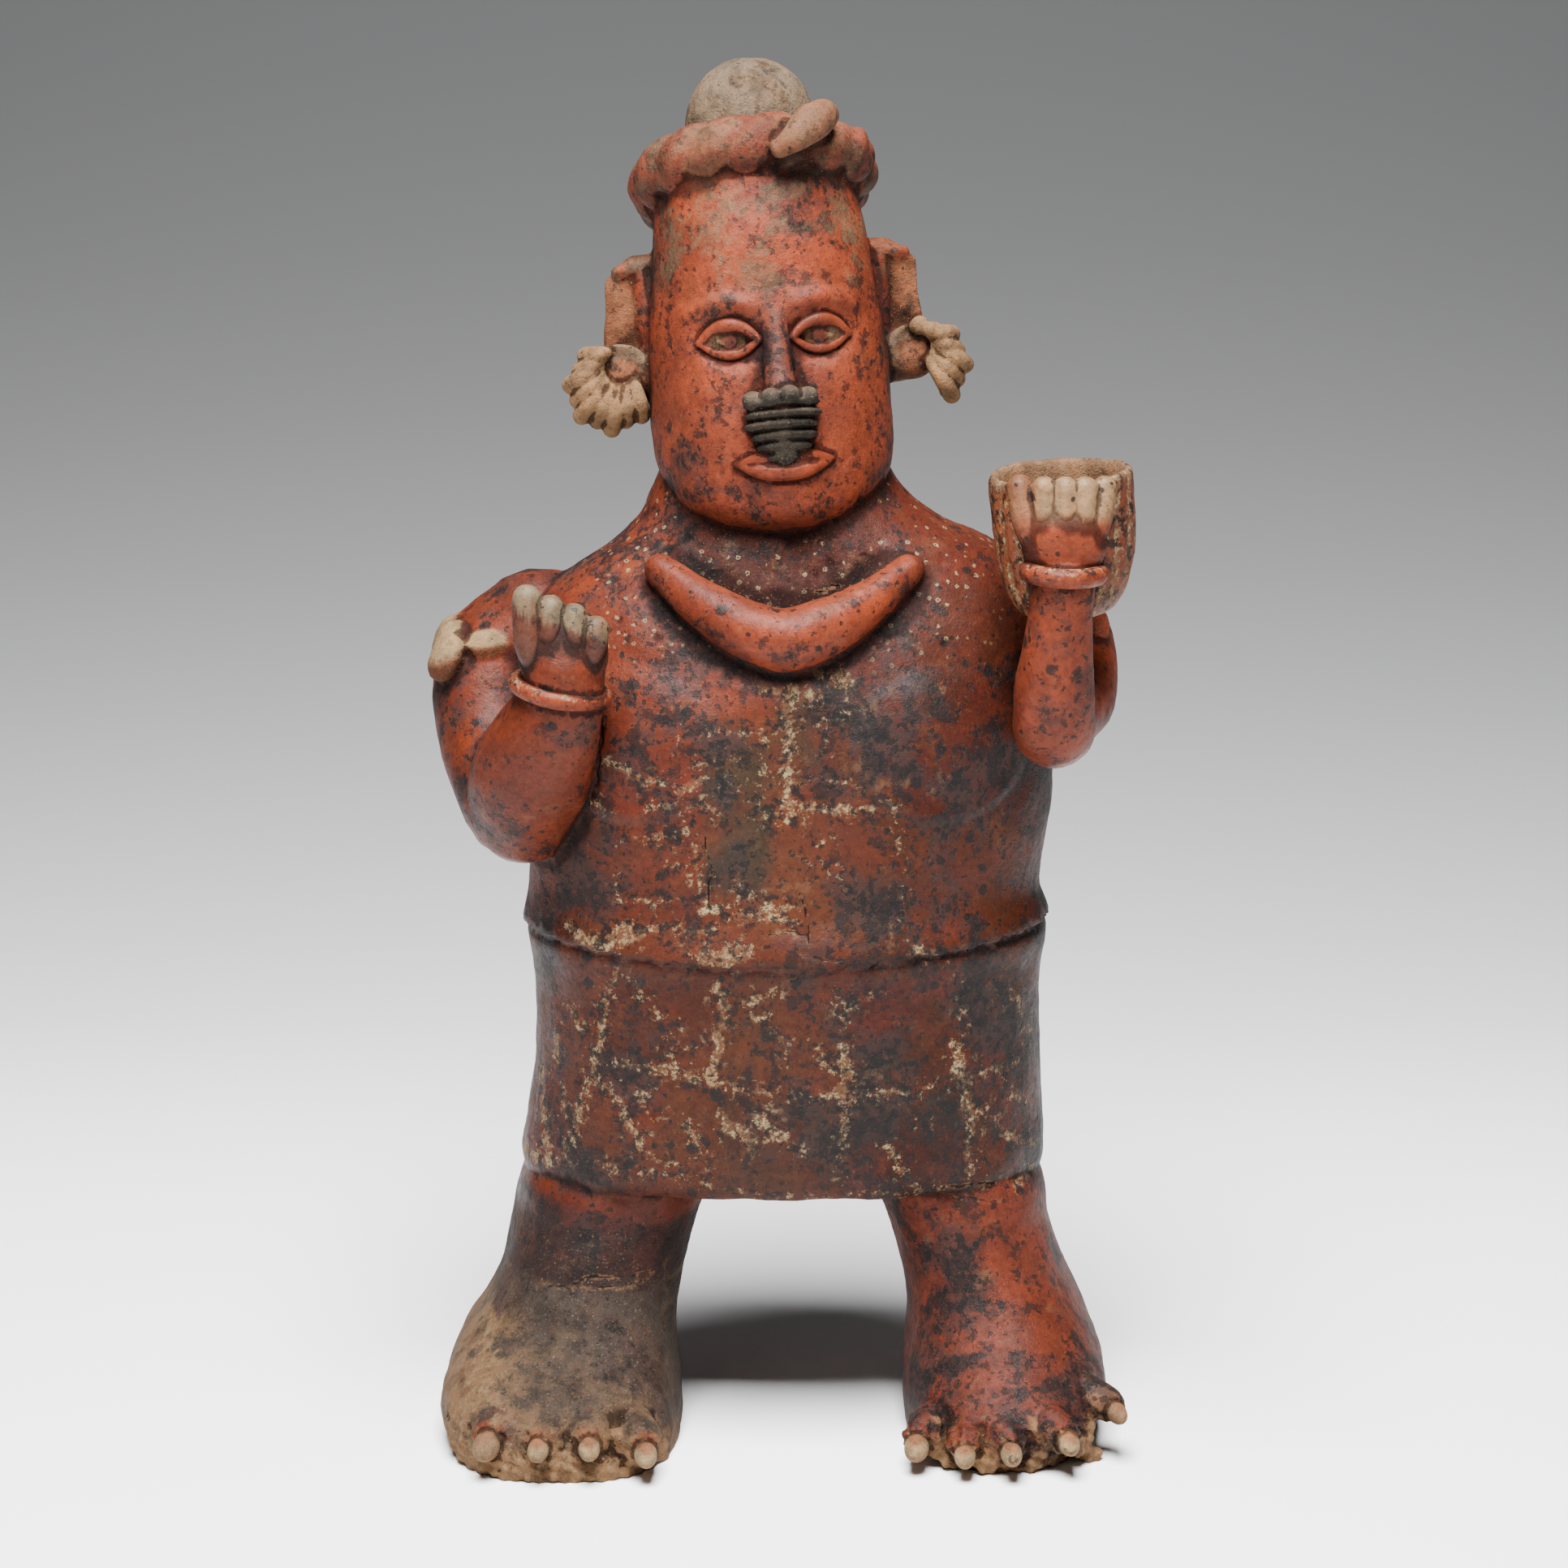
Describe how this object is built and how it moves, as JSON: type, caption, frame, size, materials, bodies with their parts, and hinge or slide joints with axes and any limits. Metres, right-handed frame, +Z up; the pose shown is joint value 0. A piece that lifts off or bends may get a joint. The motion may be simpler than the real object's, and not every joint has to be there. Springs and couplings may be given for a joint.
{
  "type": "standing figure",
  "caption": "Standing hollow clay figure with slip-painted dress, twisted headband and ornaments, forearms raised, holding a cup in one hand.",
  "frame": {"origin": "on the floor under the soles, in the middle of the figure's box seen from above", "axes": "+Z up from soles to head, the figure faces -Y, and the hand with the cup is on the +X side"},
  "size_m": [0.2318, 0.1574, 0.4502],
  "materials": {
    "slipped_clay": "earthenware under burnished red slip with worn cream paint and black mottling"
  },
  "bodies": {
    "root": {"clay_figure": "slipped_clay"}
  },
  "joints": []
}
